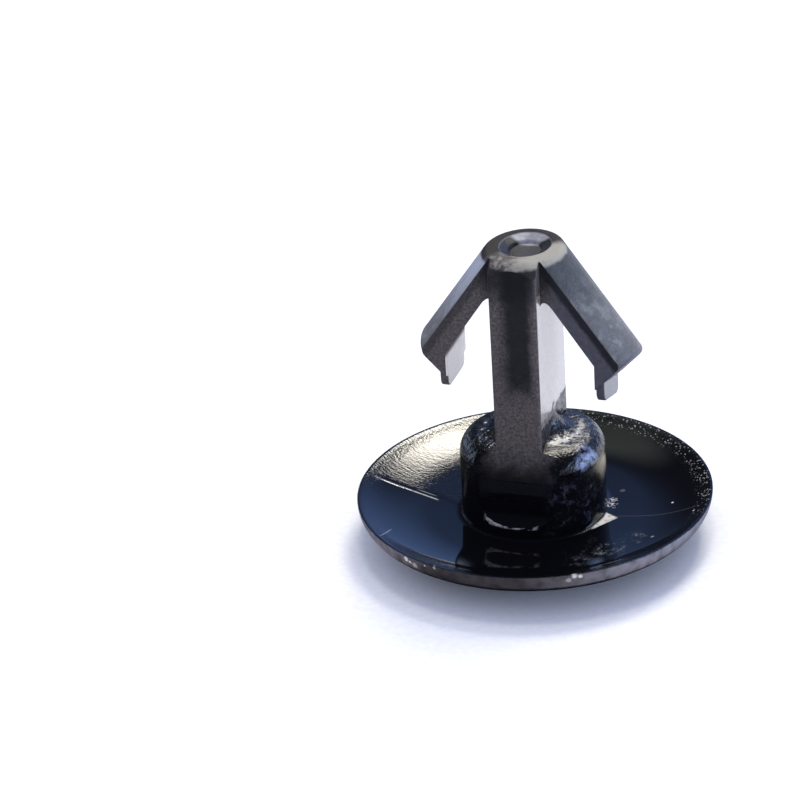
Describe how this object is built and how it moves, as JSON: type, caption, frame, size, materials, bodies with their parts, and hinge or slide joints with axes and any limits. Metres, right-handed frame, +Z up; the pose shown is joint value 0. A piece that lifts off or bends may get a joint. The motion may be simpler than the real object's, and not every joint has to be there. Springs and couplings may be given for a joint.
{
  "type": "weatherstrip retainer",
  "caption": "Push-in retainer for a vehicle's weatherstrip: domed round head dished inside, round collar with flats, post with sprung barbs under an oval tip.",
  "frame": {"origin": "lowest point of the head's dome, at the centre of the part's underside", "axes": "+Z up the stem, the way the part is pushed in; X through the barbs; Y through their depth, with -Y towards the side that the picture shows"},
  "size_m": [0.02, 0.02, 0.0177],
  "materials": {
    "nylon": "moulded black nylon, mirror-smooth on the head and the flats, fine grain on the stem"
  },
  "bodies": {
    "root": {"retainer": "nylon"}
  },
  "joints": []
}
